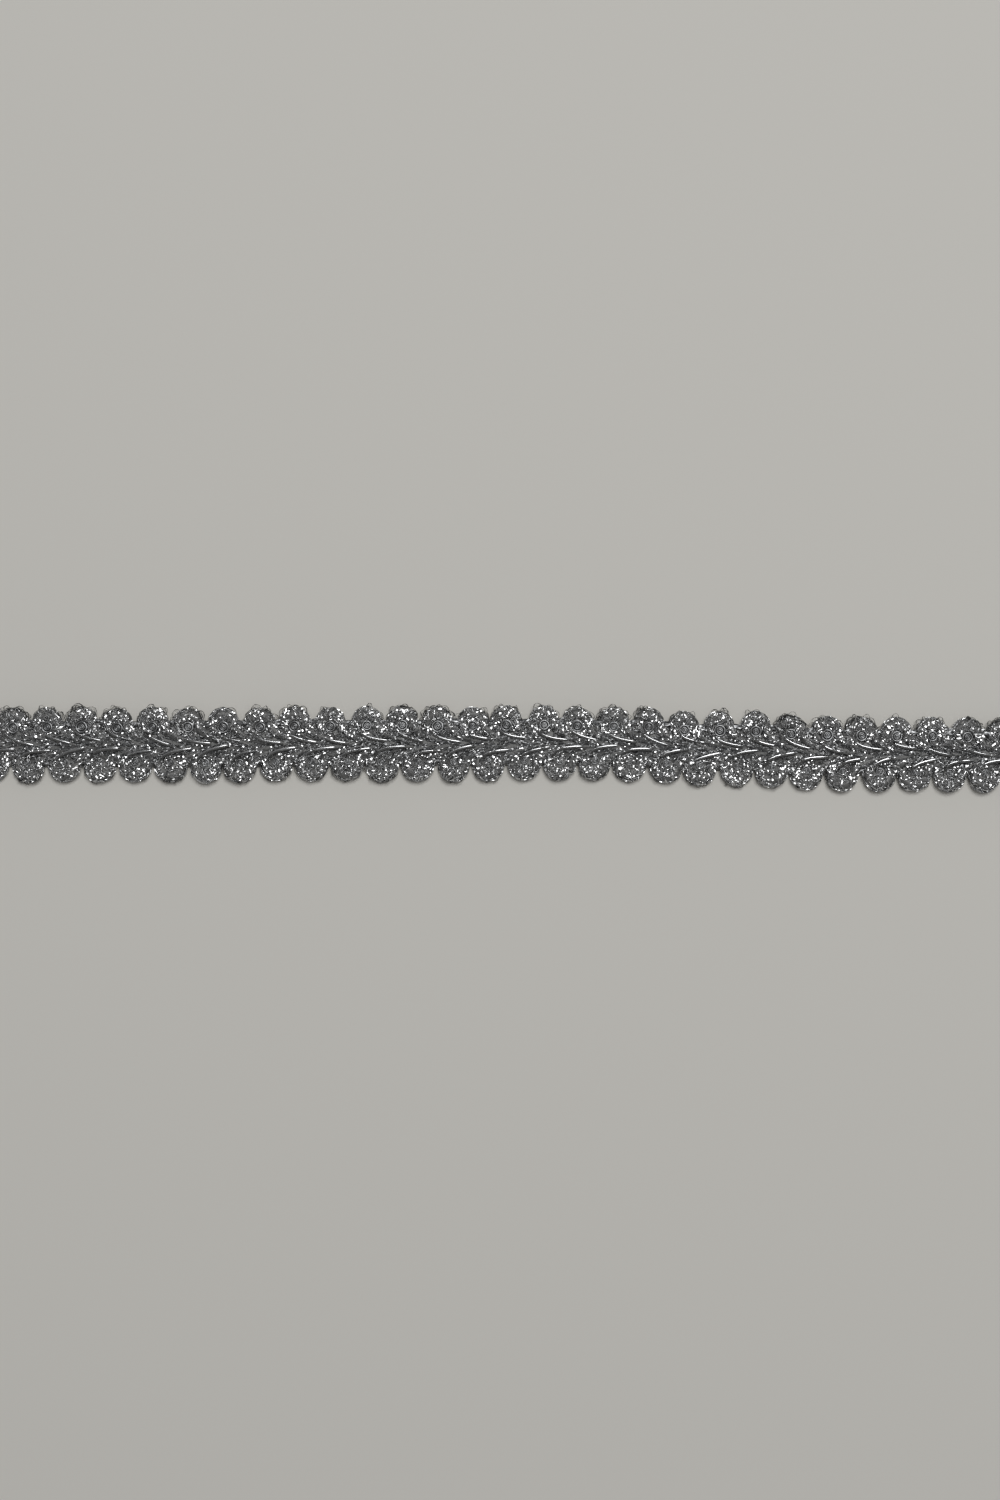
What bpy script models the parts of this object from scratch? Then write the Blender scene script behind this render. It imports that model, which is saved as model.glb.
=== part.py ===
"""A cut length of scalloped silver gimp braid, lying flat with its plaited face up.

The band is one solid. Along its middle runs a wheat-ear plait, whose leaves lie over each other
like shingles, with a ridge at each leaf where the smooth filament shows. At each edge the cords
turn back round a small eye and make a row of round scallops, and the two rows are staggered.

+X runs along the band, +Y across it towards the upper edge of the face, and +Z up from the
surface that it lies on. The origin is the middle of the underside.
"""

import math
import random

import bmesh
import bpy
from mathutils import Matrix, Vector

MM = 0.001

# Driving sizes of the braid
SCALLOP_PITCH = 5.75 * MM
SCALLOPS = 31
LENGTH = SCALLOP_PITCH * SCALLOPS

# Scallops: a round cushion of cord with a dimple at the eye, which stands nearer the spine
# than the middle of the cushion. The reach is from the spine to the tip.
UPPER_RADIUS = 2.45 * MM
UPPER_REACH = 6.35 * MM
UPPER_EYE_SHIFT = 0.6 * MM
LOWER_RADIUS = 2.7 * MM
LOWER_REACH = 6.2 * MM
LOWER_EYE_SHIFT = 0.8 * MM
LOWER_STAGGER = 0.47 * SCALLOP_PITCH
SCALLOP_STEPS = 12

# How unevenly the scallops lie, as the most that each differs from the regular one
UNEVEN_SEED = 7
UNEVEN_ALONG = 0.2 * MM
UNEVEN_REACH = 0.22 * MM
UNEVEN_RADIUS = 0.045

# Half of a scallop's section, from its eye out to its rim and down: share of the radius, height
SCALLOP_SECTION = (
    (0.0, 1.15 * MM),
    (0.58, 1.95 * MM),
    (0.88, 1.45 * MM),
    (1.0, 0.7 * MM),
    (0.92, -0.3 * MM),
    (0.0, -0.3 * MM),
)

# Rows of the plait, from its spine out: distance from the spine, where the filament's ridge
# stands along the band from its scallop's eye in the upper half and in the lower one, and the
# heights of the valley, the ridge, the leaf just behind the ridge, and the leaf's crown
PLAIT_ROWS = (
    (0.0 * MM, 3.4 * MM, 3.4 * MM, 1.85 * MM, 1.85 * MM, 1.85 * MM, 1.85 * MM),
    (0.5 * MM, 2.6 * MM, 3.2 * MM, 1.8 * MM, 2.35 * MM, 2.1 * MM, 2.3 * MM),
    (1.0 * MM, 0.9 * MM, 0.4 * MM, 1.6 * MM, 2.35 * MM, 2.05 * MM, 2.3 * MM),
    (1.7 * MM, -0.4 * MM, -1.1 * MM, 1.4 * MM, 2.2 * MM, 1.8 * MM, 2.0 * MM),
    (2.7 * MM, -1.3 * MM, -1.9 * MM, 1.1 * MM, 1.8 * MM, 1.15 * MM, 1.6 * MM),
    (4.4 * MM, -2.0 * MM, -2.4 * MM, 0.9 * MM, 0.9 * MM, 0.9 * MM, 0.9 * MM),
)
# Where the valley, ridge, back and crown stand in a leaf, as a share of the pitch
LEAF_COLUMNS = (0.0, 0.09, 0.18, 0.6)

# How the band wanders sideways as it lies: place along it, sideways shift
SIDEWAYS = (
    (-89.0 * MM, -0.1 * MM),
    (-50.0 * MM, -0.15 * MM),
    (-20.0 * MM, 0.1 * MM),
    (15.0 * MM, 0.1 * MM),
    (34.0 * MM, -0.7 * MM),
    (52.0 * MM, -1.45 * MM),
    (89.0 * MM, -1.95 * MM),
)

UNDER_FLOOR = 0.6 * MM
TALLER_THAN_BAND = 10 * MM
SHARP_FROM = math.radians(55)

SILVER_YARN = (0.33, 0.335, 0.34, 1.0)
YARN_ROUGHNESS = 0.38
YARN_METALLIC = 0.85


def clear_scene():
    """Remove whatever the scene holds."""
    for thing in list(bpy.data.objects):
        bpy.data.objects.remove(thing)


def sideways(x):
    """The band's shift along +Y at a place along it, on a smooth curve through the table."""
    places = [row[0] for row in SIDEWAYS]
    shifts = [row[1] for row in SIDEWAYS]
    if x <= places[0]:
        return shifts[0]
    for left in range(len(places) - 1):
        if x <= places[left + 1]:
            share = (x - places[left]) / (places[left + 1] - places[left])
            eased = share * share * (3 - 2 * share)
            return shifts[left] + eased * (shifts[left + 1] - shifts[left])
    return shifts[-1]


def scallop_row(side):
    """Each scallop of the upper (+1) or lower (-1) edge: place along, reach, radius.

    The row starts one scallop before the band does, because the stagger leaves a part of a
    scallop at each end of the lower edge.
    """
    draw = random.Random(UNEVEN_SEED + side)
    stagger = LOWER_STAGGER if side < 0 else 0.0
    usual_reach = UPPER_REACH if side > 0 else LOWER_REACH
    usual_radius = UPPER_RADIUS if side > 0 else LOWER_RADIUS
    row = []
    for index in range(-1, SCALLOPS + 1):
        middle = (index + 0.5) * SCALLOP_PITCH - LENGTH / 2 + stagger
        along = middle + draw.uniform(-UNEVEN_ALONG, UNEVEN_ALONG)
        reach = usual_reach + draw.uniform(-UNEVEN_REACH, UNEVEN_REACH)
        radius = usual_radius * (1 + draw.uniform(-UNEVEN_RADIUS, UNEVEN_RADIUS))
        row.append((along, reach, radius))
    return row


def middle_of_width():
    """Half way between the highest upper scallop and the lowest lower one."""
    tips = []
    for side in (1, -1):
        for along, reach, _ in scallop_row(side):
            if abs(along) < LENGTH / 2:
                tips.append(sideways(along) + side * reach)
    return (max(tips) + min(tips)) / 2


def new_object(name, mesh_maker, material, hidden=False):
    """An object whose mesh a bmesh makes. A hidden one only shapes another."""
    mesh = bpy.data.meshes.new(name)
    mesh_maker.to_mesh(mesh)
    mesh_maker.free()
    mesh.shade_smooth()
    mesh.set_sharp_from_angle(angle=SHARP_FROM)
    mesh.materials.append(material)
    made = bpy.data.objects.new(name, mesh)
    if hidden:
        made.hide_render = True
        made.display_type = "WIRE"
    return made


def yarn_material():
    """Silver film yarn, wound on a dark core."""
    material = bpy.data.materials.new("silver_glitter_yarn")
    material.use_nodes = True
    shader = material.node_tree.nodes["Principled BSDF"]
    shader.inputs["Base Color"].default_value = SILVER_YARN
    shader.inputs["Roughness"].default_value = YARN_ROUGHNESS
    shader.inputs["Metallic"].default_value = YARN_METALLIC
    return material


def scallop(along, reach, radius, side, middle):
    """One scallop: its half section spun once round the eye, with the eye drawn inwards."""
    maker = bmesh.new()
    points = [
        maker.verts.new((share * radius, 0.0, height)) for share, height in SCALLOP_SECTION
    ]
    edges = [maker.edges.new(pair) for pair in zip(points, points[1:])]
    bmesh.ops.spin(
        maker,
        geom=points + edges,
        cent=(0, 0, 0),
        axis=(0, 0, 1),
        angle=math.tau,
        steps=SCALLOP_STEPS,
        use_merge=True,
    )
    bmesh.ops.remove_doubles(maker, verts=maker.verts, dist=0.001 * MM)
    eye_shift = UPPER_EYE_SHIFT if side > 0 else LOWER_EYE_SHIFT
    for vertex in maker.verts:
        inward = 1 - vertex.co.xy.length / radius
        vertex.co.y -= side * eye_shift * inward
    bmesh.ops.recalc_face_normals(maker, faces=maker.faces)
    centre = Vector((along, sideways(along) + side * (reach - radius) - middle, 0))
    bmesh.ops.transform(maker, matrix=Matrix.Translation(centre), verts=maker.verts)
    return maker


def leaf_column(number, row_from_spine, side):
    """Where one lengthwise line of the plait's grid runs, at one row: place along, height."""
    leaf, part = divmod(number, len(LEAF_COLUMNS))
    regular = part / len(LEAF_COLUMNS)
    fitted = LEAF_COLUMNS[part]
    distance, upper_ridge, lower_ridge, *heights = PLAIT_ROWS[row_from_spine]
    ridge_along = lower_ridge if side < 0 else upper_ridge
    share = regular if row_from_spine == 0 else fitted
    stagger = SCALLOP_PITCH / 2 if side < 0 else 0.0
    eye = (leaf - 1.5) * SCALLOP_PITCH - LENGTH / 2 + stagger
    along = eye + ridge_along + (share - LEAF_COLUMNS[1]) * SCALLOP_PITCH
    return along, side * distance, heights[part]


def plait(middle):
    """The band between the scallops, with the relief of the plait on its top."""
    parts = len(LEAF_COLUMNS)
    columns = (SCALLOPS + 2) * parts
    rows = len(PLAIT_ROWS) - 1
    maker = bmesh.new()
    bmesh.ops.create_grid(maker, x_segments=columns, y_segments=2 * rows, size=0.5)
    for vertex in maker.verts:
        column = round((vertex.co.x + 0.5) * columns)
        row = round((vertex.co.y + 0.5) * 2 * rows) - rows
        side = -1 if row < 0 else 1
        number = column - (parts // 2 if side < 0 else 0) + parts
        x, y, z = leaf_column(number, abs(row), side)
        x -= SCALLOP_PITCH
        vertex.co = Vector((x, y + sideways(x) - middle, z))
    lowered = bmesh.ops.extrude_face_region(maker, geom=maker.faces[:])
    for item in lowered["geom"]:
        if isinstance(item, bmesh.types.BMVert):
            item.co.z = -UNDER_FLOOR
    bmesh.ops.recalc_face_normals(maker, faces=maker.faces)
    return maker


def trimming_block():
    """What the cut length and the flat underside keep of the band."""
    maker = bmesh.new()
    bmesh.ops.create_cube(maker, size=1.0)
    size = Vector((LENGTH, 4 * UPPER_REACH, TALLER_THAN_BAND))
    bmesh.ops.scale(maker, vec=size, verts=maker.verts)
    bmesh.ops.translate(maker, vec=(0, 0, TALLER_THAN_BAND / 2), verts=maker.verts)
    return maker


def join_and_trim(band, scallops, block):
    """Fuse the scallops to the band, then cut it to length and flat underneath."""
    fuse = band.modifiers.new("fuse scallops", "BOOLEAN")
    fuse.operation = "UNION"
    fuse.solver = "EXACT"
    fuse.operand_type = "COLLECTION"
    fuse.collection = scallops
    trim = band.modifiers.new("cut to length", "BOOLEAN")
    trim.operation = "INTERSECT"
    trim.solver = "EXACT"
    trim.object = block


def main():
    """Build the braid."""
    clear_scene()
    scene = bpy.context.scene.collection
    yarn = yarn_material()
    middle = middle_of_width()

    band = new_object("gimp_braid", plait(middle), yarn)
    scene.objects.link(band)

    scallops = bpy.data.collections.new("scallops")
    scene.children.link(scallops)
    for side, edge in ((1, "upper"), (-1, "lower")):
        for number, (along, reach, radius) in enumerate(scallop_row(side)):
            if abs(along) > LENGTH / 2 + radius:
                continue
            shape = scallop(along, reach, radius, side, middle)
            name = f"{edge}_scallop_{number:02d}"
            scallops.objects.link(new_object(name, shape, yarn, hidden=True))

    block = new_object("trimming_block", trimming_block(), yarn, hidden=True)
    scene.objects.link(block)
    join_and_trim(band, scallops, block)


main()
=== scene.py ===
"""The looks of a cut length of scalloped silver gimp braid, lying face up on a pale sheet.

A fat cord covered in crisscrossing strips of metallised film turns back round a small eye at each
scallop, then sweeps along the band to the spine, where it dives under the cords of the scallops
beyond. A smooth filament lies along the spine's side of each cord and shows as one bright stroke.
"""

from __future__ import annotations

import logging
import math
import random
from collections.abc import Sequence
from dataclasses import dataclass, field
from enum import Enum
from functools import cached_property
from typing import Any

import bmesh
import bpy
from bmesh.types import BMEdge, BMesh, BMVert
from bpy.types import Curve, Material, Node, NodeSocket, NodeTree, Object
from mathutils import Matrix, Vector


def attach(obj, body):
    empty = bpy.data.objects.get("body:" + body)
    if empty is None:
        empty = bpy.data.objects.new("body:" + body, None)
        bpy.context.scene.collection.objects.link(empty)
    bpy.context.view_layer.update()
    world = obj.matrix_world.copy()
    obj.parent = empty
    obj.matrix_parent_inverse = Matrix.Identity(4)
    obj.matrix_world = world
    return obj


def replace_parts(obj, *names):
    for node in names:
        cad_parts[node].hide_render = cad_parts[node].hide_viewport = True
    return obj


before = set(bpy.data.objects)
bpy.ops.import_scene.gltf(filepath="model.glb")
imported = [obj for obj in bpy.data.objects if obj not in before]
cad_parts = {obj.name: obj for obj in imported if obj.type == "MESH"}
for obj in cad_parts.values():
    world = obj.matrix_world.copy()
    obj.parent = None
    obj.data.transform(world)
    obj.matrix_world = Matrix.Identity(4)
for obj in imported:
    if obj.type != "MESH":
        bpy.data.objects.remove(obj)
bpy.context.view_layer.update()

log = logging.getLogger("gimp_braid")

MM = 0.001
ROOT = "root"
BRAID_NODE = "gimp_braid"
UP = Vector((0, 0, 1))
MERGE_WITHIN = 0.001 * MM

# Two limits between which a value is drawn, and a row of pairs such as a section's corners
Span = tuple[float, float]
Outline = tuple[Span, ...]


class Side(Enum):
    """One edge of the band, as the sign of its direction across the band."""

    UPPER = 1
    LOWER = -1


class Gloss(Enum):
    """How a piece's faces are shaded."""

    FLAT = False
    SMOOTH = True


def mm(*values: float) -> tuple[float, ...]:
    """Lengths in metres from millimetres."""
    return tuple(value * MM for value in values)


def by_side(upper: Any, lower: Any) -> Any:
    """A dataclass field that holds one value for each edge of the band."""
    return field(default_factory=lambda: {Side.UPPER: upper, Side.LOWER: lower})


def shares(count: int) -> list[float]:
    """Evenly spaced shares from 0 to 1."""
    return [number / (count - 1) for number in range(count)]


@dataclass(frozen=True)
class Station:
    """One place on a cord's middle line, from its scallop's eye and from the spine."""

    along: float
    out: float
    radius: float
    height: float


def stations(*rows: tuple[float, float, float, float]) -> tuple[Station, ...]:
    """Stations from rows of millimetres: along, out, radius, height."""
    return tuple(Station(*mm(*row)) for row in rows)


UPPER_CORD = stations(
    (1.30, 2.35, 0.40, 0.85),
    (0.10, 1.98, 0.52, 0.98),
    (-1.05, 2.25, 0.64, 0.98),
    (-1.60, 3.35, 0.70, 0.90),
    (-1.32, 4.40, 0.90, 0.95),
    (-0.50, 5.00, 1.02, 0.98),
    (0.45, 5.00, 1.02, 0.98),
    (1.25, 4.48, 0.92, 0.98),
    (1.58, 3.60, 0.82, 1.02),
    (2.00, 2.75, 0.84, 1.10),
    (2.75, 2.05, 0.86, 1.18),
    (3.80, 1.45, 0.80, 1.22),
    (5.20, 0.95, 0.70, 1.20),
    (6.80, 0.52, 0.58, 1.24),
    (8.60, 0.12, 0.48, 1.18),
    (10.2, -0.15, 0.36, 1.05),
)
LOWER_CORD = stations(
    (1.30, 1.85, 0.40, 0.85),
    (0.00, 1.45, 0.48, 0.98),
    (-1.20, 1.72, 0.60, 0.98),
    (-1.76, 2.75, 0.74, 0.90),
    (-1.45, 3.95, 0.92, 0.95),
    (-0.62, 4.67, 1.06, 0.98),
    (0.45, 4.67, 1.06, 0.98),
    (1.38, 4.02, 0.94, 0.98),
    (1.78, 3.05, 0.80, 1.02),
    (2.15, 2.25, 0.80, 1.10),
    (2.90, 1.72, 0.80, 1.18),
    (3.95, 1.30, 0.72, 1.20),
    (5.30, 0.88, 0.64, 1.20),
    (6.90, 0.48, 0.56, 1.24),
    (8.60, 0.12, 0.46, 1.18),
    (10.2, -0.15, 0.36, 1.05),
)
UPPER_STROKE = stations(
    (-1.25, 2.55, 0.10, 1.60),
    (-0.85, 2.00, 0.13, 1.90),
    (-0.20, 1.55, 0.15, 2.04),
    (0.65, 1.20, 0.17, 2.10),
    (1.80, 0.88, 0.20, 2.12),
    (2.90, 0.68, 0.20, 2.10),
    (3.60, 0.58, 0.18, 1.98),
    (4.20, 0.48, 0.12, 1.65),
)
LOWER_STROKE = stations(
    (-1.75, 2.85, 0.10, 1.55),
    (-1.30, 2.05, 0.13, 1.90),
    (-0.65, 1.42, 0.16, 2.04),
    (0.30, 0.95, 0.20, 2.10),
    (1.50, 0.66, 0.25, 2.12),
    (2.70, 0.48, 0.25, 2.10),
    (3.60, 0.38, 0.20, 1.98),
    (4.30, 0.30, 0.12, 1.65),
)


@dataclass(frozen=True)
class Edge:
    """The usual sizes of one edge's scallops, and the lines of their cords and filaments.

    `reach` and `eye` are measured from the spine, and `stagger` is a share of the pitch.
    """

    radius: float
    reach: float
    eye: float
    eye_radius: float
    stagger: float
    cord: tuple[Station, ...]
    stroke: tuple[Station, ...]


EDGES = {
    Side.UPPER: Edge(2.45 * MM, 6.35 * MM, 3.05 * MM, 1.0 * MM, 0.0, UPPER_CORD, UPPER_STROKE),
    Side.LOWER: Edge(2.7 * MM, 6.2 * MM, 2.7 * MM, 0.66 * MM, 0.47, LOWER_CORD, LOWER_STROKE),
}


@dataclass(frozen=True)
class Scallop:
    """One scallop: where it stands along the band, and how far and how wide it reaches."""

    side: Side
    along: float
    reach: float
    radius: float

    @property
    def edge(self) -> Edge:
        """The usual sizes of its edge."""
        return EDGES[self.side]


@dataclass(frozen=True)
class Band:
    """The whole length of braid: what its scallops, cords and eyes are placed by."""

    pitch: float = 5.75 * MM
    scallops: int = 31
    uneven_seed: int = 7
    uneven_along: float = 0.2 * MM
    uneven_reach: float = 0.22 * MM
    uneven_radius: float = 0.045
    wander: Outline = (
        mm(-89.0, -0.1), mm(-50.0, -0.15), mm(-20.0, 0.1), mm(15.0, 0.1),
        mm(34.0, -0.7), mm(52.0, -1.45), mm(89.0, -1.95),
    )

    @property
    def length(self) -> float:
        """The cut length, a whole number of scallops."""
        return self.pitch * self.scallops

    @property
    def width(self) -> float:
        """The usual width over the scallop tips."""
        return sum(edge.reach for edge in EDGES.values())

    def sideways(self, x: float) -> float:
        """How far the band lies to +Y at a place along it.

        Args:
            x: The place along the band.

        Returns:
            The shift, eased between the places where it is known.
        """
        if x <= self.wander[0][0]:
            return self.wander[0][1]
        for (left, before), (right, after) in zip(self.wander, self.wander[1:]):
            if x <= right:
                share = (x - left) / (right - left)
                return before + share * share * (3 - 2 * share) * (after - before)
        return self.wander[-1][1]

    def row(self, side: Side) -> list[Scallop]:
        """The scallops of one edge, with those past each end whose cords reach in.

        Args:
            side: The edge.

        Returns:
            The scallops from -X to +X.
        """
        edge = EDGES[side]
        draw = random.Random(self.uneven_seed + side.value)
        stagger = edge.stagger * self.pitch
        # Only the tail of the first one's cord reaches in, so it is regular and takes no draws
        first = stagger - 1.5 * self.pitch - self.length / 2
        found = [Scallop(side, first, edge.reach, edge.radius)]
        for index in range(-1, self.scallops + 1):
            middle = (index + 0.5) * self.pitch - self.length / 2 + stagger
            along = middle + draw.uniform(-self.uneven_along, self.uneven_along)
            reach = edge.reach + draw.uniform(-self.uneven_reach, self.uneven_reach)
            radius = edge.radius * (1 + draw.uniform(-self.uneven_radius, self.uneven_radius))
            found.append(Scallop(side, along, reach, radius))
        return found

    @cached_property
    def every_scallop(self) -> list[Scallop]:
        """The scallops of the upper edge, then those of the lower one."""
        return [scallop for side in Side for scallop in self.row(side)]

    @cached_property
    def middle_y(self) -> float:
        """Half way between the highest upper tip and the lowest lower one, the frame's Y zero."""
        tips = [
            self.sideways(scallop.along) + scallop.side.value * scallop.reach
            for scallop in self.every_scallop
            if abs(scallop.along) < self.length / 2
        ]
        return (max(tips) + min(tips)) / 2

    def place(self, scallop: Scallop, along: float, out: float, height: float) -> Vector:
        """A point given from a scallop, in the shared frame.

        Args:
            scallop: The scallop that the point belongs to.
            along: How far along the band from the scallop's eye.
            out: How far from the spine, towards the scallop.
            height: How far above the surface that the band lies on.

        Returns:
            The point in the shared frame.
        """
        grown = out * scallop.reach / scallop.edge.reach
        x = scallop.along + along * scallop.radius / scallop.edge.radius
        y = self.sideways(x) + scallop.side.value * grown - self.middle_y
        return Vector((x, y, height))

    def eye(self, scallop: Scallop, height: float) -> Vector:
        """The middle of a scallop's eye at a height."""
        return self.place(scallop, 0.0, scallop.edge.eye, height)

    def holds(self, *points: Vector) -> bool:
        """Whether all the points lie between the band's two cut ends."""
        return all(abs(point.x) <= self.length / 2 for point in points)


# A cord's height as a share of its width
CORD_FLATNESS = 0.92


@dataclass(frozen=True)
class Section:
    """A cut across a cord: its middle, its two directions and its size there."""

    middle: Vector
    across: Vector
    rise: Vector
    radius: float

    def surface(self, turn: float, lift: float) -> Vector:
        """A point on the cord's skin.

        Args:
            turn: The angle from the cord's top, positive towards `across`.
            lift: How far above the skin.

        Returns:
            The point in the shared frame.
        """
        reach = self.radius + lift
        sideways = reach * math.sin(turn) * self.across
        return self.middle + sideways + reach * CORD_FLATNESS * math.cos(turn) * self.rise

    def outward(self, turn: float) -> Vector:
        """The direction that the skin faces at an angle from the top."""
        return math.sin(turn) * self.across + math.cos(turn) * self.rise


def catmull_rom(points: Sequence[Vector], share: float) -> Vector:
    """The point between the middle two of four on a smooth curve.

    Args:
        points: Four points in order, of any number of dimensions.
        share: How far from the second to the third, from 0 to 1.

    Returns:
        The point on the curve.
    """
    before, start, end, after = points
    square, cube = share * share, share * share * share
    return 0.5 * (
        2 * start
        + (end - before) * share
        + (2 * before - 5 * start + 4 * end - after) * square
        + (3 * start - before - 3 * end + after) * cube
    )


@dataclass
class Route:
    """The middle line of one cord or filament, as close sections from its start to its end."""

    band: Band
    scallop: Scallop
    line: tuple[Station, ...]
    spacing: float = 0.1 * MM

    @cached_property
    def sections(self) -> list[Section]:
        """The sections, worked out from the stations."""
        places = [
            Vector((*self.band.place(self.scallop, at.along, at.out, at.height), at.radius))
            for at in self.line
        ]
        padded = [2 * places[0] - places[1], *places, 2 * places[-1] - places[-2]]
        fine = []
        for number in range(len(places) - 1):
            span = padded[number : number + 4]
            steps = max(2, round((span[2].xyz - span[1].xyz).length / self.spacing))
            fine += [catmull_rom(span, step / steps) for step in range(steps)]
        fine.append(places[-1])
        found = []
        for number, here in enumerate(fine):
            ahead = fine[min(number + 1, len(fine) - 1)].xyz - fine[max(number - 1, 0)].xyz
            across = ahead.cross(UP).normalized()
            rise = across.cross(ahead).normalized()
            found.append(Section(here.xyz, across, rise, here.w))
        return found

    def at(self, distance: float) -> Section:
        """The section at a distance from the start."""
        number = round(distance / self.spacing)
        return self.sections[max(0, min(number, len(self.sections) - 1))]

    @property
    def length(self) -> float:
        """The length of the line."""
        return (len(self.sections) - 1) * self.spacing


def linear(hex_colour: str) -> tuple[float, float, float, float]:
    """Turn an sRGB colour to the linear values that a shader takes.

    Args:
        hex_colour: The colour, such as "#c9cacc".

    Returns:
        Its linear red, green and blue, and an opacity of 1.
    """
    values = [int(hex_colour[at : at + 2], 16) / 255 for at in (1, 3, 5)]
    lit = [v / 12.92 if v <= 0.04045 else ((v + 0.055) / 1.055) ** 2.4 for v in values]
    return (*lit, 1.0)


def add_node(
    tree: NodeTree,
    kind: str,
    settings: dict[str | int, object] | None = None,
    links: dict[str | int, NodeSocket] | None = None,
) -> Node:
    """Add one node with its settings and links.

    Args:
        tree: The node tree it goes in.
        kind: The node's type.
        settings: Values by the name or number of an input, or by the name of a property.
        links: The outputs that feed its inputs, by the input's name or number.

    Returns:
        The node.
    """
    node = tree.nodes.new(kind)
    for name, value in (settings or {}).items():
        if isinstance(name, int) or name in node.inputs:
            node.inputs[name].default_value = value
        else:
            setattr(node, name, value)
    for name, output in (links or {}).items():
        tree.links.new(output, node.inputs[name])
    return node


@dataclass(frozen=True)
class PatchyFinish:
    """A finish whose colour wanders between two greys, and whose surface may have a relief.

    `patch` and `relief` are the sizes of the patches and of the relief's bumps, and `detail` and
    `raggedness` say how finely both break up.
    """

    name: str
    bright: str
    dull: str
    roughness: float
    patch: float
    metallic: float = 1.0
    detail: float = 2.0
    raggedness: float = 0.5
    relief: float = 0.0
    relief_depth: float = 0.0
    relief_strength: float = 0.0

    def material(self) -> Material:
        """Make the finish's material.

        Returns:
            The material, on Object coordinates.
        """
        material = bpy.data.materials.new(self.name)
        material.use_nodes = True
        tree = material.node_tree
        shader = tree.nodes["Principled BSDF"]
        shader.inputs["Metallic"].default_value = self.metallic
        shader.inputs["Roughness"].default_value = self.roughness
        place = {"Vector": add_node(tree, "ShaderNodeTexCoord").outputs["Object"]}
        grain = {"Detail": self.detail, "Roughness": self.raggedness}
        patches = add_node(tree, "ShaderNodeTexNoise", {"Scale": 1 / self.patch, **grain}, place)
        greys = {"data_type": "RGBA", 6: linear(self.dull), 7: linear(self.bright)}
        colour = add_node(tree, "ShaderNodeMix", greys, {0: patches.outputs["Fac"]})
        tree.links.new(colour.outputs[2], shader.inputs["Base Color"])
        if self.relief:
            bumps = add_node(tree, "ShaderNodeTexNoise", {"Scale": 1 / self.relief, **grain}, place)
            raised = {"Strength": self.relief_strength, "Distance": self.relief_depth}
            bump = add_node(tree, "ShaderNodeBump", raised, {"Height": bumps.outputs["Fac"]})
            tree.links.new(bump.outputs["Normal"], shader.inputs["Normal"])
        return material


@dataclass(frozen=True)
class MetallisedFilm(PatchyFinish):
    """Polyester film with a vapour-deposited aluminium coat, slit to strips.

    To the eye it is a mirror in narrow flat pieces, bright where one faces a light and dark grey
    beside it, a little duller where the coat is rubbed, and finely crinkled.
    """

    name: str = "slit_metallised_film"
    bright: str = "#d9dada"
    dull: str = "#b6b6b7"
    roughness: float = 0.17
    patch: float = 0.7 * MM
    relief: float = 0.16 * MM
    relief_depth: float = 0.004 * MM
    relief_strength: float = 0.4


@dataclass(frozen=True)
class TwistedFilm(PatchyFinish):
    """The same film slit fine and twisted tight, so that its coat is scuffed.

    To the eye it is a fine, evenly grey metal grain with few bright points.
    """

    name: str = "fine_twisted_film"
    bright: str = "#a9aaab"
    dull: str = "#6c6d6e"
    roughness: float = 0.33
    patch: float = 0.35 * MM


@dataclass(frozen=True)
class WoundYarn(PatchyFinish):
    """Grey rayon core yarn with a metallic thread wound round it.

    To the eye it is a dark grey ground with a fine, faintly shining grain between the strips,
    raised where it is pale.
    """

    name: str = "wound_core_yarn"
    bright: str = "#8b8b8a"
    dull: str = "#4a4a49"
    roughness: float = 0.5
    patch: float = 0.22 * MM
    metallic: float = 0.4
    detail: float = 3.0
    raggedness: float = 0.6
    relief: float = 0.22 * MM
    relief_depth: float = 0.05 * MM
    relief_strength: float = 0.8


@dataclass(frozen=True)
class PaintedShadeFibre(PatchyFinish):
    """A dull dark grey fibre finish that paints shade: painted shade on the loose loops at
    the scallops' rims, which stand edge-on and in shadow, and painted shadow on the dark
    strands beside the filaments.

    To the eye it is a dull dark hair against the pale sheet.
    """

    name: str = "painted_shade_fibre"
    bright: str = "#6a6a69"
    dull: str = "#2e2e2d"
    roughness: float = 0.6
    patch: float = 0.5 * MM
    metallic: float = 0.3


@dataclass(frozen=True)
class SmoothFilament(PatchyFinish):
    """Round polyester filament, aluminium coated and polished by drawing.

    To the eye it is one clean bright line where it runs across the light.
    """

    name: str = "drawn_metallic_filament"
    bright: str = "#dedfe0"
    dull: str = "#b4b5b6"
    roughness: float = 0.2
    patch: float = 1.5 * MM


@dataclass(frozen=True)
class PaleSheet:
    """Plain warm grey matt sheet, which the braid lies on."""

    name: str = "matt_pale_sheet"
    colour: str = "#dcdad4"
    roughness: float = 0.9

    def material(self) -> Material:
        """Make the sheet's material.

        Returns:
            The material.
        """
        material = bpy.data.materials.new(self.name)
        material.use_nodes = True
        shader = material.node_tree.nodes["Principled BSDF"]
        shader.inputs["Base Color"].default_value = linear(self.colour)
        shader.inputs["Roughness"].default_value = self.roughness
        return material


def triangles(obj: Object) -> int:
    """How many triangles a piece's faces make."""
    return sum(len(face.vertices) - 2 for face in obj.data.polygons)


def mesh_object(name: str, maker: BMesh) -> Object:
    """Turn a bmesh to a smooth object at the origin, and free it.

    Args:
        name: The object's name.
        maker: The mesh, with its normals outwards.

    Returns:
        The object.
    """
    mesh = bpy.data.meshes.new(name)
    maker.to_mesh(mesh)
    maker.free()
    mesh.shade_smooth()
    return bpy.data.objects.new(name, mesh)


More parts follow.
